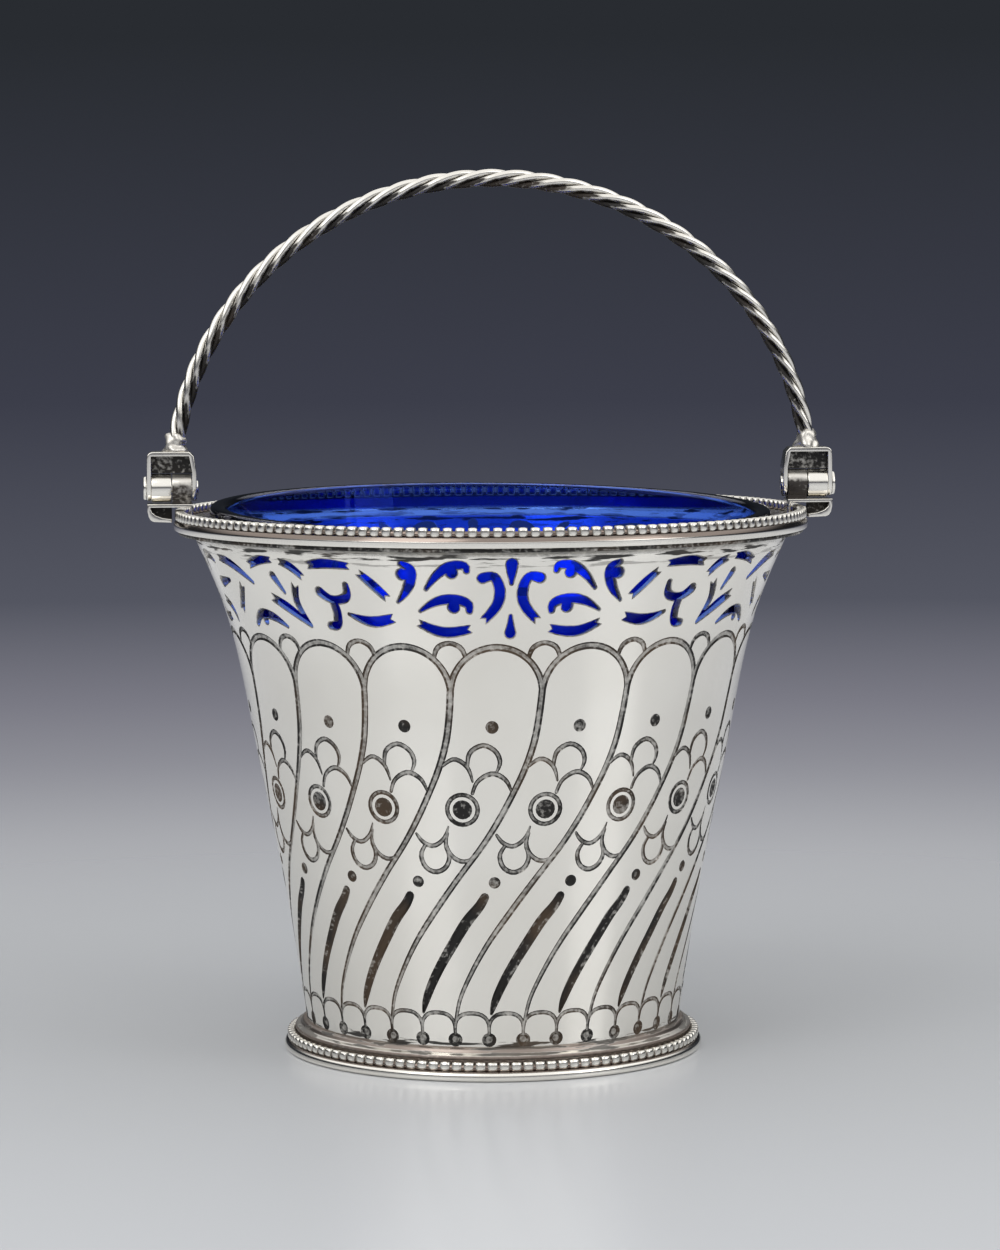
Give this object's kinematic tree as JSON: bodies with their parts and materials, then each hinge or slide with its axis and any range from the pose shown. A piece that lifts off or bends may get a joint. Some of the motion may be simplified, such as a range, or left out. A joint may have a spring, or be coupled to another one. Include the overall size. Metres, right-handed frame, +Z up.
{
  "type": "cream pail",
  "caption": "Small tapered silver pail with a pierced and engraved wall, beaded rim and foot, lift-out blue glass liner and a swinging twisted-wire bail.",
  "frame": {"origin": "on the surface that it stands on, under the middle of the foot", "axes": "+Z up, X along the line of the two hinges, the front at -Y"},
  "size_m": [0.0962, 0.088, 0.1221],
  "materials": {
    "polished_silver": "polished silver, softly worn",
    "tarnished_silver": "silver with brown-grey tarnish in its hollows",
    "cobalt_glass": "clear blown cobalt-blue glass"
  },
  "bodies": {
    "pail": {"body_wall": "polished_silver", "base_disc": "polished_silver", "foot_band": "polished_silver", "foot_bead_wire": "tarnished_silver", "foot_step_ring": "polished_silver", "rim_band": "polished_silver", "rim_bead_wire": "tarnished_silver", "hinge_bracket_left": "polished_silver", "hinge_bracket_right": "polished_silver", "bracket_knuckle_left": "tarnished_silver", "bracket_knuckle_right": "tarnished_silver"},
    "bail": {"bail_wire_1": "polished_silver", "bail_wire_2": "polished_silver", "bail_wire_3": "polished_silver", "bail_wire_4": "polished_silver", "bail_collar_left": "polished_silver", "bail_collar_right": "polished_silver", "bail_yoke_left": "polished_silver", "bail_yoke_right": "polished_silver", "yoke_knuckle_left": "polished_silver", "yoke_knuckle_right": "polished_silver", "hinge_pin_left": "polished_silver", "hinge_pin_right": "polished_silver"},
    "liner": {"glass_liner": "cobalt_glass"}
  },
  "joints": [
    {"name": "bail_swing", "type": "hinge", "parent": "pail", "child": "bail", "pos_m": [0, 0, 0.07845], "axis": [1, 0, 0], "range_deg": [-92, 92]},
    {"name": "liner_lift", "type": "slide", "parent": "pail", "child": "liner", "axis": [0, 0, 1], "range_m": [0, 0.015]}
  ]
}
